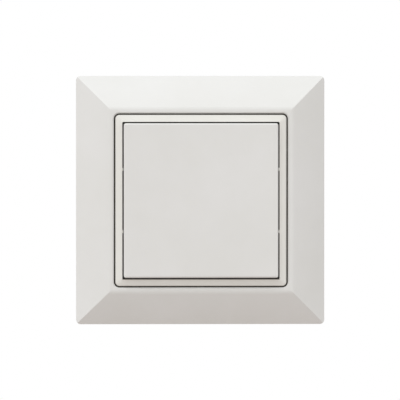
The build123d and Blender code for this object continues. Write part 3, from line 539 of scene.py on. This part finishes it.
# %% [markdown]
# In the CAD model the winding is one smooth block. The real one shows its outer layer, turn beside turn
# of enamelled copper wire. One loop of points is drawn round the bobbin and extruded upwards in small
# steps, four to a turn. The steps swell outwards and back, which makes a row of round turns out of one
# closed skin.

# %% Copper winding
WIRE = 0.22
LOOP_POINTS = 48
OUTER_CORNER = 1.5
INNER_FORM = (2.9, 1.2, 0.12)
SWELL = (0.0, 0.72, 1.0, 0.72)


def loop_place(point, half_x, half_y, corner, swell):
    """Moves a point of a circle onto a rounded rectangle and out by the swell of the wire."""
    side_x = math.copysign(half_x - corner, point.x)
    side_y = math.copysign(half_y - corner, point.y)
    way = Vector((point.x, point.y)).normalized()
    return Vector((side_x + way.x * (corner + swell), side_y + way.y * (corner + swell)))


def spot_of(vert):
    """The place of a point as plain rounded numbers, to find it again after an extrusion."""
    return tuple(round(value, 9) for value in vert.co)


def make_winding():
    """Outer layer of the coil, with flat ends and a plain inside."""
    x_low, x_high, low, high, z_low, z_high = box_mm("coil_winding")
    middle = Vector((0.0, -(low + high) / 2))
    outer = ((x_high - x_low) / 2 - WIRE / 2, (high - low) / 2 - WIRE / 2, OUTER_CORNER)
    turns = int((z_high - z_low) / WIRE)
    rise = (z_high - z_low) / turns / len(SWELL)
    rows = [(z_low, INNER_FORM, 0.0)]
    for step in range(len(SWELL) * turns + 1):
        rows.append((z_low + step * rise, outer, WIRE / 2 * SWELL[step % len(SWELL)]))
    rows.append((z_high, INNER_FORM, 0.0))
    shape = bmesh.new()
    turn = Matrix.Rotation(math.pi / LOOP_POINTS, 4, "Z")
    ring = bmesh.ops.create_circle(shape, segments=LOOP_POINTS, radius=1.0, matrix=turn)["verts"]
    aims = {vert: vert.co.copy() for vert in ring}
    edges = list({edge for vert in ring for edge in vert.link_edges})
    for number, (z, form, swell) in enumerate(rows):
        if number:
            aim_at = {spot_of(vert): aim for vert, aim in aims.items()}
            made = bmesh.ops.extrude_edge_only(shape, edges=edges)["geom"]
            ring = [item for item in made if isinstance(item, bmesh.types.BMVert)]
            edges = [item for item in made if isinstance(item, bmesh.types.BMEdge)]
            aims = {vert: aim_at[spot_of(vert)] for vert in ring}
        for vert in ring:
            spot = loop_place(aims[vert], *form, swell)
            vert.co = Vector((spot.x + middle.x, spot.y + middle.y, z)) * MM
    open_edges = [edge for edge in shape.edges if edge.is_boundary]
    bmesh.ops.bridge_loops(shape, edges=open_edges)
    return shape


def make_copper_wire():
    """Copper under a thin amber lacquer, a little darker in places where the enamel is thicker."""
    material, surface = new_material("copper_wire")
    lines = add_group(material, rolled_lines, Line_Scale=700.0, Stretch=0.2)
    add_shades(material, surface, lines.outputs["Lines"], shade(156, 82, 46), shade(188, 106, 62),
               low=0.3, high=0.7)
    set_inputs(surface, {"Metallic": 1.0, "Roughness": 0.32, "Coat Weight": 0.5})
    return material


copper_wire = make_copper_wire()
winding = finish_piece("winding_turns", make_winding(), "housing", copper_wire, sharp_deg=60.0)
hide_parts("coil_winding")

# %% [markdown]
# The two ends of the winding leave it at the side, pass the flange and run into the bobbin's foot, where
# the pins hold them. A wire is a row of circles, each turned to face along its path and joined to the
# one before it with bridge_loops, which works for any thin round piece that follows a path.

# %% Lead-out wires
LEAD_RADIUS = 0.11
LEAD_PATH = ((5.9, 5.6, -13.7), (6.2, 5.6, -13.9), (6.5, 5.6, -14.3), (6.62, 5.6, -14.8),
             (6.62, 5.6, -15.3), (6.55, 5.6, -15.8), (6.4, 5.6, -16.15), (6.1, 5.6, -16.3))


def add_wire(shape, points, radius, sides=10):
    """Adds a round wire with closed ends that runs through the points."""
    rows = []
    for number, point in enumerate(points):
        ahead = points[min(number + 1, len(points) - 1)] - points[max(number - 1, 0)]
        matrix = Matrix.Translation(point) @ ahead.to_track_quat("Z", "Y").to_matrix().to_4x4()
        closed = number in (0, len(points) - 1)
        made = bmesh.ops.create_circle(shape, cap_ends=closed, segments=sides, radius=radius,
                                       matrix=matrix)
        verts = set(made["verts"])
        rows.append([edge for edge in shape.edges if edge.verts[0] in verts and edge.verts[1] in verts])
    for row, following in zip(rows, rows[1:]):
        bmesh.ops.bridge_loops(shape, edges=row + following)


def make_leads():
    """Both leads, one the mirror image of the other."""
    shape = bmesh.new()
    for side in (-1, 1):
        add_wire(shape, [place(side * x, height, z) for x, height, z in LEAD_PATH], LEAD_RADIUS * MM)
    return shape


finish_piece("winding_leads", make_leads(), "housing", copper_wire, sharp_deg=60.0)

# %% [markdown]
# A contact mat is one sheet of silicone with two hollow nipples. When a finger of the rocker comes down,
# the nipple buckles and closes a contact on the board.

# %% Contact mats
MAT_BELL = ((0.0, 8.40), (0.95, 8.40), (1.12, 8.34), (1.2, 8.2), (1.22, 7.4), (1.34, 7.1), (1.62, 6.75),
            (2.02, 6.36), (2.36, 6.02), (2.6, 5.84), (2.9, 5.72), (3.0, 5.6), (0.0, 5.6))
SHEET_HIGH = 0.6
SHEET_EDGE = 0.1
SHEET_CORNER = 1.0
WEB_WIDE = 1.1
WEB_HIGH = 0.5
WEB_LAP = 0.5


def make_mat(node):
    """Sheet, web and two nipples within the limits of the plain mat."""
    x_low, x_high, low, _, z_low, z_high = box_mm(node)
    middle_x = (x_low + x_high) / 2
    side = math.copysign(1.0, middle_x)
    half = (x_high - x_low) / 2
    web = (middle_x + side * half, middle_x + side * (half - WEB_WIDE))
    shape = bmesh.new()
    for middle_z in (z_low + half, z_high - half):
        block_mm(shape, x_low, x_high, middle_z - half, middle_z + half, low, low + SHEET_HIGH,
                 SHEET_EDGE, corner=SHEET_CORNER)
        add_turned(shape, middle_x, middle_z, MAT_BELL, steps=40)
    block_mm(shape, min(web), max(web), z_low + 2 * half - WEB_LAP, z_high - 2 * half + WEB_LAP,
             low, low + WEB_HIGH, SHEET_EDGE)
    return shape


for label in ("left", "right"):
    node = "contact_mat_" + label
    mat = finish_piece("nipple_mat_" + label, make_mat(node), "housing", silicone_grey, sharp_deg=50.0)
    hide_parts(node)
    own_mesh(mat)

# %% [markdown]
# Two leaf springs bring the small see-saw back to its middle.

# %% Leaf springs
SPRING_CUTS = 28
SPRING_EDGE = 0.05


def make_spring(node):
    """A thin strip with rounded edges, cut across so that it can bend."""
    x_low, x_high, low, high, z_low, z_high = box_mm(node)
    shape = bmesh.new()
    block_mm(shape, x_low, x_high, z_low, z_high, low, high, SPRING_EDGE)
    for cut in range(1, SPRING_CUTS):
        z = z_low + (z_high - z_low) * cut / SPRING_CUTS
        everything = shape.verts[:] + shape.edges[:] + shape.faces[:]
        bmesh.ops.bisect_plane(shape, geom=everything, plane_co=place(0, 0, z), plane_no=(0, 0, 1))
    return shape


for label in ("left", "right"):
    node = "return_spring_" + label
    spring = finish_piece("leaf_spring_" + label, make_spring(node), None, spring_bright)
    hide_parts(node)
    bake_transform(spring)

# %% [markdown]
# A circuit board looks real through its small things: copper tracks under the green lacquer, drilled
# holes with a ring of metal, and rows of tiny parts with tinned ends. Tracks come first. They are flat
# strips turned to their direction, and every second strip of a track lies a hair higher, because two
# faces in exactly the same plane flicker in a render.

# %% Tracks and drilled holes
BOARD_TOP = box_mm("circuit_board")[3]
SUNK = 0.02
TRACK_WIDTH = 0.2
TRACK_HIGH = BOARD_TOP + 0.03
TRACK_STEP = 0.004
TRACK_LAP = 0.8
HOLE_RADIUS = 0.13
RIM_RADIUS = 0.28
RIM_FOOT = 0.3
RIM_HIGH = TRACK_HIGH + 0.02
TRACKS_LEFT = (
    ((-10.4, -15.4), (-10.4, 10.6), (-11.0, 11.1)),
    ((-10.75, -15.2), (-10.75, -9.6), (-11.3, -9.0)),
    ((-11.05, -11.2), (-11.05, -10.4), (-11.5, -10.0)),
    ((-15.4, 8.0), (-15.4, 7.2)),
    ((-14.3, 2.0), (-14.3, 0.7)),
    ((-12.3, 2.0), (-12.3, 0.7)),
    ((-16.2, -10.6), (-16.2, 3.2), (-15.8, 3.6)),
    ((-15.9, -10.6), (-15.9, -9.4), (-15.4, -8.9), (-14.9, -8.5)),
    ((-13.3, -3.9), (-13.3, -1.8)),
)
TRACKS_RIGHT = (
    ((10.4, -15.4), (10.4, 10.4), (11.2, 11.1)),
    ((10.75, -15.2), (10.75, 3.4), (11.3, 3.9)),
    ((11.1, -11.2), (11.1, -7.0), (11.6, -6.4)),
    ((12.3, 7.0), (12.3, 8.6)),
    ((14.3, 7.0), (14.3, 8.6)),
    ((15.9, -10.8), (15.9, 4.4), (15.3, 5.0)),
    ((16.25, -10.8), (16.25, 9.4), (15.6, 10.0), (14.6, 10.0)),
    ((13.3, -3.6), (13.3, -1.7)),
    ((13.3, 1.2), (13.3, 3.0)),
)
HOLES = ((-10.4, -3.2), (-10.75, -12.6), (-16.2, 0.2), (-11.0, 11.05), (-16.2, -10.6), (-14.0, 11.0),
         (10.4, 1.6), (10.75, -13.4), (11.2, 11.05), (16.25, -3.0), (15.9, -10.8), (14.0, 11.0))


def add_strip(shape, start, end, width, low, high):
    """A flat strip from one (x, z) point to another."""
    way = Vector(end) - Vector(start)
    middle = (Vector(end) + Vector(start)) / 2
    size = Vector((way.length + width * TRACK_LAP, high - low, width)) * MM
    matrix = (Matrix.Translation(place(middle.x, (low + high) / 2, middle.y))
              @ Matrix.Rotation(-math.atan2(way.y, way.x), 4, "Y") @ Matrix.Diagonal((*size, 1.0)))
    bmesh.ops.create_cube(shape, size=1.0, matrix=matrix)


def make_tracks():
    """All tracks, with a ring round each drilled hole."""
    shape = bmesh.new()
    for track in TRACKS_LEFT + TRACKS_RIGHT:
        for number, (start, end) in enumerate(zip(track, track[1:])):
            high = TRACK_HIGH + TRACK_STEP * (number % 2)
            add_strip(shape, start, end, TRACK_WIDTH, BOARD_TOP - SUNK, high)
    rim = ((HOLE_RADIUS, BOARD_TOP - SUNK), (HOLE_RADIUS, RIM_HIGH), (RIM_RADIUS, RIM_HIGH),
           (RIM_FOOT, BOARD_TOP - SUNK), (HOLE_RADIUS, BOARD_TOP - SUNK))
    for x, z in HOLES:
        add_turned(shape, x, z, rim, slot=1, steps=16)
    return shape


finish_piece("board_tracks", make_tracks(), "housing", trace_green, solder_tin)

# %% [markdown]
# The smallest parts of a board are resistors and capacitors a millimetre long: a dark or brown body
# between two tinned ends, each end standing in a flat fillet of solder. Five blocks make one. Each part
# lies along x or along z, so one helper turns limits along and across a part into limits on the board,
# and a table of places is all that differs from part to part.

# %% Tiny resistors and capacitors
CHIP_LONG = 1.0
CHIP_WIDE = 0.5
CHIP_HIGH = 0.36
CHIP_END = 0.2
CHIP_INSET = 0.02
FILLET_OUT = 0.16
FILLET_SIDE = 0.04
FILLET_HIGH = 0.08
FINE_EDGE = 0.03
END_EDGE = 0.05
TINY_PARTS = (
    (-15.0, 1.35, "z"), (-13.3, 1.3, "x"), (-11.6, 1.35, "z"), (-14.5, -2.75, "x"), (-11.9, -2.75, "x"),
    (-14.8, -9.6, "x"), (-13.2, -9.6, "x"), (-12.4, -10.7, "x"), (-12.2, 10.8, "x"), (-14.6, -10.8, "x"),
    (11.7, 8.3, "z"), (12.9, 8.6, "z"), (13.7, 8.6, "z"), (15.0, 8.3, "z"), (12.2, 10.4, "x"),
    (12.0, 2.1, "x"), (14.6, 2.1, "x"), (12.2, -2.6, "x"), (14.4, -2.6, "x"), (12.2, -10.5, "x"),
    (14.5, -10.5, "x"), (15.2, -8.5, "z"), (11.7, -8.7, "z"),
)


def add_along(shape, x, z, way, along, across, low, high, edge, slot):
    """A block whose limits are given along and across a part that lies along x or z."""
    one = (x + along[0], x + along[1], z + across[0], z + across[1])
    other = (x + across[0], x + across[1], z + along[0], z + along[1])
    block_mm(shape, *(one if way == "x" else other), low, high, edge, slot)


def add_tiny_part(shape, x, z, way, body_slot):
    """A body between two tinned ends, each end in a flat fillet of solder."""
    half, wide = CHIP_LONG / 2, CHIP_WIDE / 2
    top = BOARD_TOP + CHIP_HIGH
    body_end = half - CHIP_END / 2
    add_along(shape, x, z, way, (-body_end, body_end), (CHIP_INSET - wide, wide - CHIP_INSET),
              BOARD_TOP, top - CHIP_INSET, FINE_EDGE, body_slot)
    for side in (-1, 1):
        inner = side * (half - CHIP_END)
        add_along(shape, x, z, way, sorted((side * half, inner)), (-wide, wide),
                  BOARD_TOP, top, END_EDGE, 0)
        add_along(shape, x, z, way, sorted((side * (half + FILLET_OUT), inner)),
                  (-wide - FILLET_SIDE, wide + FILLET_SIDE),
                  BOARD_TOP - SUNK, BOARD_TOP + FILLET_HIGH, FINE_EDGE, 0)


def make_tiny_parts():
    """Every second part is a brown capacitor, the others are black resistors."""
    shape = bmesh.new()
    for number, (x, z, way) in enumerate(TINY_PARTS):
        add_tiny_part(shape, x, z, way, 1 + number % 2)
    return shape


finish_piece("tiny_parts", make_tiny_parts(), "housing", solder_tin, passive_brown, chip_epoxy)

# %% [markdown]
# The larger parts stand on leads or solder pads, and a part without them would look dropped on the
# board. Flat chips show a row of short pads on each side. The rectifier, the capacitors and the small
# transistor stand on bent leads: a shoulder, a drop and a foot. The antenna has a metal cap on each end.

# %% Leads, pads and metal ends
PAD_HALF = 0.13
PAD_OUT = 0.22
PAD_HIGH = 0.07
PAD_EDGE = 0.02
LEAD_ROOT = 0.1
LEAD_THICK = 0.13
LEAD_STEP = 0.006
LEAD_LAP = 0.01
LEAD_EDGE = 0.04
BEND_FROM, BEND_TO = 0.3, 0.45
FOOT_HIGH = 0.12
CAP_SKIN = 0.03
CAP_EDGE = 0.06
CAPACITOR_LONG = 2.82
TRANSISTOR = (12.75, 13.95, -9.4, -7.6)


def add_pad_rows(shape, node, count, share):
    """Rows of short pads along the four sides of a flat chip."""
    x_low, x_high, low, _, z_low, z_high = box_mm(node)
    for number in range(count):
        part = (number - (count - 1) / 2) / count * share
        x = (x_low + x_high) / 2 + part * (x_high - x_low)
        z = (z_low + z_high) / 2 + part * (z_high - z_low)
        block_mm(shape, x - PAD_HALF, x + PAD_HALF, z_low - PAD_OUT, z_high + PAD_OUT,
                 low - SUNK, low + PAD_HIGH, PAD_EDGE)
        block_mm(shape, x_low - PAD_OUT, x_high + PAD_OUT, z - PAD_HALF, z + PAD_HALF,
                 low - SUNK, low + PAD_HIGH, PAD_EDGE)


def add_bent_leads(shape, x_low, x_high, low, rise, places, width, out):
    """Leads on two sides, each of three blocks, and each block a hair wider than the last."""
    for z in places:
        for side, x in ((-1, x_low), (1, x_high)):
            shoulder = (-LEAD_ROOT, out * BEND_TO, low + rise - LEAD_THICK, low + rise)
            drop = (out * BEND_FROM, out * BEND_TO, low + LEAD_LAP, low + rise - LEAD_LAP)
            foot = (out * BEND_FROM, out, low - SUNK, low + FOOT_HIGH)
            for number, (one, other, bottom, top) in enumerate((shoulder, drop, foot)):
                near, far = sorted((x + side * one, x + side * other))
                half = width / 2 + LEAD_STEP * number
                block_mm(shape, near, far, z - half, z + half, bottom, top, LEAD_EDGE)


def add_end_caps(shape, node, cap):
    """Metal caps that wrap a block at its two ends along X."""
    x_low, x_high, low, high, z_low, z_high = box_mm(node)
    for one, other in ((x_low - CAP_SKIN, x_low + cap), (x_high - cap, x_high + CAP_SKIN)):
        block_mm(shape, one, other, z_low - CAP_SKIN, z_high + CAP_SKIN, low, high + CAP_SKIN, CAP_EDGE)


def make_leads_and_pads():
    """Everything of bare metal that belongs to the larger parts."""
    shape = bmesh.new()
    add_pad_rows(shape, "radio_chip", count=8, share=0.88)
    add_pad_rows(shape, "energy_manager", count=6, share=0.86)
    add_end_caps(shape, "chip_antenna", cap=0.55)
    x_low, x_high, low, high, z_low, z_high = box_mm("rectifier")
    places = (z_low + 0.25 * (z_high - z_low), z_low + 0.75 * (z_high - z_low))
    add_bent_leads(shape, x_low, x_high, low, (high - low) * 0.5, places, width=0.8, out=0.6)
    x_low, x_high, low, high, z_low, z_high = box_mm("storage_capacitors")
    places = (z_low + CAPACITOR_LONG / 2, z_high - CAPACITOR_LONG / 2)
    add_bent_leads(shape, x_low, x_high, low, 0.85, places, width=1.5, out=0.34)
    x_low, x_high, z_low, z_high = TRANSISTOR
    places = ((z_low + z_high) / 2,)
    add_bent_leads(shape, x_low, x_high, BOARD_TOP, 0.5, places, width=0.4, out=0.5)
    return shape


finish_piece("metal_leads", make_leads_and_pads(), "housing", solder_tin)

# %% [markdown]
# What the board still lacks are the brown ceramic foot of the crystal, the body of the transistor, and
# the marks that tell a fitter which way round a part goes: a bar at one end of each capacitor and a
# dimple beside the first pin of each chip. Bars and dimples stand up by a hundredth of a millimetre, so
# they are real shapes that catch the light.

# %% Bodies and marks of the small parts
CERAMIC_OUT = 0.12
CERAMIC_HIGH = 0.3
CERAMIC_EDGE = 0.05
TRANSISTOR_FROM, TRANSISTOR_TO = BOARD_TOP + 0.1, BOARD_TOP + 1.0
TRANSISTOR_EDGE = 0.08
BAR_FROM, BAR_TO = 0.75, 0.3
BAR_SIDE = 0.14
BAR_ROOT = 0.1
BAR_PROUD = 0.015
BAR_EDGE = 0.004
DIMPLE_INSETS = (("radio_chip", 0.75), ("energy_manager", 0.65))
DIMPLE = ((0.0, 0.004), (0.2, 0.004), (0.22, 0.012), (0.26, 0.012), (0.28, -0.02), (0.0, -0.02))


def make_small_bodies():
    """Crystal foot, transistor body, the bars that mark one end and the dimples by pin one."""
    shape = bmesh.new()
    x_low, x_high, low, high, z_low, z_high = box_mm("crystal")
    block_mm(shape, x_low - CERAMIC_OUT, x_high + CERAMIC_OUT, z_low - CERAMIC_OUT,
             z_high + CERAMIC_OUT, low, low + CERAMIC_HIGH, CERAMIC_EDGE, slot=1)
    block_mm(shape, *TRANSISTOR, TRANSISTOR_FROM, TRANSISTOR_TO, TRANSISTOR_EDGE)
    x_low, x_high, low, high, z_low, z_high = box_mm("storage_capacitors")
    for one in (z_low, z_high - CAPACITOR_LONG):
        block_mm(shape, x_high - BAR_FROM, x_high - BAR_TO, one + BAR_SIDE,
                 one + CAPACITOR_LONG - BAR_SIDE, high - BAR_ROOT, high + BAR_PROUD, BAR_EDGE, slot=2)
    for node, inset in DIMPLE_INSETS:
        x_low, x_high, low, high, z_low, z_high = box_mm(node)
        profile = [(radius, high + rise) for radius, rise in DIMPLE]
        add_turned(shape, x_low + inset, z_high - inset, profile, slot=2, steps=20)
    return shape


finish_piece("small_bodies", make_small_bodies(), "housing", chip_epoxy, passive_brown, tray_black)

# %% [markdown]
# Under the board each coil pin stands in a small cone of solder, and the back of a moulded plate shows
# where the ejector pins pushed it out of the mould: shallow round pads in a regular pattern. Both are
# turned profiles again, each closed on the axis and sunk a little into what carries it.

# %% Solder cones and ejector marks
PIN_INSET = 0.25
CONE_TIP = ((0.0, 0.02), (0.2, 0.02), (0.36, 0.08))
CONE_FOOT = ((0.5, -0.12), (0.85, -0.03), (0.9, 0.05), (0.0, 0.05))
MARK_ROWS = (-31.0, -15.5, 15.5, 31.0)
MARK_FROM = 25.0
MARK_PLACES = [(x, z) for x in MARK_ROWS for z in MARK_ROWS if max(abs(x), abs(z)) > MARK_FROM]
MARK_DISC = ((0.0, -0.12), (1.7, -0.12), (1.78, -0.06), (1.8, 0.1), (0.0, 0.1))


def make_solder():
    """One cone for each pin of the coil."""
    shape = bmesh.new()
    x_low, x_high, low, _, z_low, z_high = box_mm("coil_terminals")
    back = box_mm("circuit_board")[2]
    cone = [(radius, low + rise) for radius, rise in CONE_TIP]
    cone += [(radius, back + rise) for radius, rise in CONE_FOOT]
    for x in (x_low + PIN_INSET, x_high - PIN_INSET):
        add_turned(shape, x, (z_low + z_high) / 2, cone, steps=24)
    return shape


def make_marks():
    """Round pads on the back of the mounting plate, clear of the adhesive pad and the screw holes."""
    shape = bmesh.new()
    back = box_mm("mounting_plate")[2]
    disc = [(radius, back + rise) for radius, rise in MARK_DISC]
    for x, z in MARK_PLACES:
        add_turned(shape, x, z, disc, steps=40)
    return shape


finish_piece("coil_solder", make_solder(), "housing", solder_tin)
finish_piece("ejector_marks", make_marks(), "housing", mark_grey)

# %% [markdown]
# The studio is a white room. It starts with a pale floor well below the switch, which throws some warm
# light back up. The camera sees that floor paler than the lamps do, so that the backdrop stays light
# and the shadow on it stays soft.

# %% Floor and backdrop
FLOOR_DROP = 0.16
FLOOR_HALF = 1.5
FLOOR_BOUNCE = shade(190, 181, 176)
FLOOR_SEEN = shade(222, 221, 218)


def make_floor():
    """A pale square floor that can be seen through from below."""
    mesh = bpy.data.meshes.new("studio_floor")
    shape = bmesh.new()
    bmesh.ops.create_grid(shape, x_segments=1, y_segments=1, size=FLOOR_HALF,
                          matrix=Matrix.Translation((0, 0, -FLOOR_DROP)))
    shape.to_mesh(mesh)
    shape.free()
    floor = bpy.data.objects.new("studio_floor", mesh)
    bpy.context.scene.collection.objects.link(floor)
    material, surface = new_material("floor_pale")
    surface.inputs["Roughness"].default_value = 0.9
    seen = material.node_tree.nodes.new("ShaderNodeLightPath")
    tone = material.node_tree.nodes.new("ShaderNodeMix")
    tone.data_type = "RGBA"
    set_inputs(tone, {"A": FLOOR_BOUNCE, "B": FLOOR_SEEN})
    below = material.node_tree.nodes.new("ShaderNodeNewGeometry")
    clear = material.node_tree.nodes.new("ShaderNodeBsdfTransparent")
    mix = material.node_tree.nodes.new("ShaderNodeMixShader")
    link = material.node_tree.links.new
    link(seen.outputs["Is Camera Ray"], tone.inputs["Factor"])
    link(tone.outputs["Result"], surface.inputs["Base Color"])
    link(below.outputs["Backfacing"], mix.inputs["Fac"])
    link(surface.outputs["BSDF"], mix.inputs[1])
    link(clear.outputs["BSDF"], mix.inputs[2])
    link(mix.outputs["Shader"], material.node_tree.nodes["Material Output"].inputs["Surface"])
    mesh.materials.append(material)
    return floor


print("floor:", make_floor().name, "-", FLOOR_DROP, "m below the middle")

# %% [markdown]
# A broad soft lamp hangs above and a little to the left, and a weaker one stands in front on the right.
# The world is the fill light. Its strength follows the direction: more from above and from the left,
# less from below and from the right. That slow change is what makes the four slopes of the frame read
# as four different whites. Where the camera, a reflection or a clear material looks straight at it, the
# Light Path node shows plain white instead, so the backdrop stays white at any light level.

# %% Lamps and sky
SKY_LEVEL = 0.79
SKY_RISE = 0.30
SKY_LEFT = 0.28
SKY_COLOUR = (0.985, 0.995, 1.0, 1.0)
PLAIN_WHITE = (1.0, 1.0, 1.0, 1.0)
KEY_POWER = 7.5
KEY_SIZE = 1.0
KEY_PLACE = Vector((-0.45, -1.0, 1.7))
FRONT_POWER = 3.4
FRONT_SIZE = 1.2
FRONT_PLACE = Vector((0.9, -1.9, 0.2))


def make_sky():
    """Soft light from every side, brighter above and to the left, and white where the camera looks."""
    world = bpy.data.worlds.new("studio_sky")
    bpy.context.scene.world = world
    world.use_nodes = True
    tree = world.node_tree
    link = tree.links.new
    light = tree.nodes["Background"]
    where = tree.nodes.new("ShaderNodeTexCoord")
    lean = tree.nodes.new("ShaderNodeVectorMath")
    lean.operation = "DOT_PRODUCT"
    lean.inputs[1].default_value = (-SKY_LEFT, 0.0, SKY_RISE)
    level = tree.nodes.new("ShaderNodeMath")
    level.operation = "ADD"
    level.inputs[1].default_value = SKY_LEVEL
    link(where.outputs["Generated"], lean.inputs[0])
    link(lean.outputs["Value"], level.inputs[0])
    link(level.outputs["Value"], light.inputs["Strength"])
    light.inputs["Color"].default_value = SKY_COLOUR
    plain = tree.nodes.new("ShaderNodeBackground")
    plain.inputs["Color"].default_value = PLAIN_WHITE
    seen = tree.nodes.new("ShaderNodeLightPath")
    direct = seen.outputs["Is Camera Ray"]
    for ray in ("Is Glossy Ray", "Is Transmission Ray"):
        either = tree.nodes.new("ShaderNodeMath")
        either.operation = "MAXIMUM"
        link(direct, either.inputs[0])
        link(seen.outputs[ray], either.inputs[1])
        direct = either.outputs["Value"]
    mix = tree.nodes.new("ShaderNodeMixShader")
    link(direct, mix.inputs["Fac"])
    link(light.outputs["Background"], mix.inputs[1])
    link(plain.outputs["Background"], mix.inputs[2])
    link(mix.outputs["Shader"], tree.nodes["World Output"].inputs["Surface"])


def make_softbox(name, stand, size, power):
    """A square soft lamp that looks at the switch."""
    data = bpy.data.lights.new(name, "AREA")
    data.shape = "SQUARE"
    data.size = size
    data.energy = power
    lamp = bpy.data.objects.new(name, data)
    lamp.location = stand
    lamp.rotation_mode = "QUATERNION"
    lamp.rotation_quaternion = (-stand).to_track_quat("-Z", "Y")
    bpy.context.scene.collection.objects.link(lamp)
    print(name, "-", power, "W, side", size, "m")


make_sky()
make_softbox("key_softbox", KEY_PLACE, KEY_SIZE, KEY_POWER)
make_softbox("front_softbox", FRONT_PLACE, FRONT_SIZE, FRONT_POWER)

# %% [markdown]
# The photograph is taken almost straight on with a long lens: the near faces are hardly larger than the
# far ones, and they sit a hair to the right of and below the outline. So the camera stands far away, a
# touch to the left and a touch above.

# %% Camera
CAMERA_DISTANCE = 1.8
CAMERA_LEFT_DEG = 1.7
CAMERA_UP_DEG = 1.1
SENSOR_WIDTH = 36.0
VIEW_WIDTH = 0.1289
FAR_LIMIT = 20.0
AIM = Vector((-0.00008, -0.0046, 0.0))


def make_camera():
    """A long lens that frames the switch as the photograph does."""
    data = bpy.data.cameras.new("camera")
    data.sensor_width = SENSOR_WIDTH
    data.lens = SENSOR_WIDTH * CAMERA_DISTANCE / VIEW_WIDTH
    data.clip_end = FAR_LIMIT
    camera = bpy.data.objects.new("camera", data)
    side = math.radians(-CAMERA_LEFT_DEG)
    rise = math.radians(CAMERA_UP_DEG)
    back = Vector((math.sin(side) * math.cos(rise), -math.cos(side) * math.cos(rise), math.sin(rise)))
    camera.location = AIM + back * CAMERA_DISTANCE
    camera.rotation_mode = "QUATERNION"
    camera.rotation_quaternion = (-back).to_track_quat("-Z", "Y")
    bpy.context.scene.collection.objects.link(camera)
    bpy.context.scene.camera = camera


make_camera()
bpy.context.scene.view_settings.view_transform = "Standard"
print("camera at", [round(value, 3) for value in bpy.context.scene.camera.location], "m")
